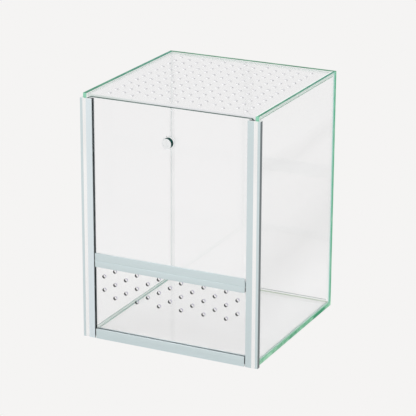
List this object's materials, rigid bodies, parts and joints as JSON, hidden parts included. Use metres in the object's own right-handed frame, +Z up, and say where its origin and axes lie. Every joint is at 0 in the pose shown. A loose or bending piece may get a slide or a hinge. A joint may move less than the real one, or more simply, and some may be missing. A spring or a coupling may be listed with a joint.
{
  "type": "reptile terrarium",
  "caption": "Small upright glass terrarium with a perforated clear lid, a perforated front vent panel and a glass front door with a knob that lifts up in aluminium side rails.",
  "frame": {"origin": "middle of the floor pane's underside", "axes": "+Z up; the front with its door faces -Y; +X to the right as the front is faced"},
  "size_m": [0.205, 0.207, 0.27],
  "materials": {
    "pane_glass": "clear float glass with green polished edges",
    "clear_sheet": "clear acrylic sheet, gloss",
    "anodised_rail": "satin anodised extrusion",
    "knob_glass": "polished green glass",
    "clear_pad": "clear adhesive pad",
    "clear_silicone": "translucent silicone sealant"
  },
  "bodies": {
    "tank": {"floor_glass": "pane_glass", "back_glass": "pane_glass", "left_glass": "pane_glass", "right_glass": "pane_glass", "vent_lid": "clear_sheet", "front_vent_panel": "clear_sheet", "left_rail": "anodised_rail", "right_rail": "anodised_rail", "middle_rail": "anodised_rail", "bottom_rail": "anodised_rail", "back_left_seam": "clear_silicone", "back_right_seam": "clear_silicone", "floor_left_seam": "clear_silicone", "floor_right_seam": "clear_silicone", "floor_back_seam": "clear_silicone", "lid_left_seam": "clear_silicone", "lid_right_seam": "clear_silicone", "lid_back_seam": "clear_silicone", "left_rail_seam": "clear_silicone", "right_rail_seam": "clear_silicone", "front_seam": "clear_silicone"},
    "door": {"door_glass": "pane_glass", "door_knob": "knob_glass", "knob_pad": "clear_pad"}
  },
  "joints": [
    {"name": "door_lift", "type": "slide", "parent": "tank", "child": "door", "axis": [0, 0, 1], "range_m": [0, 0.17]}
  ]
}
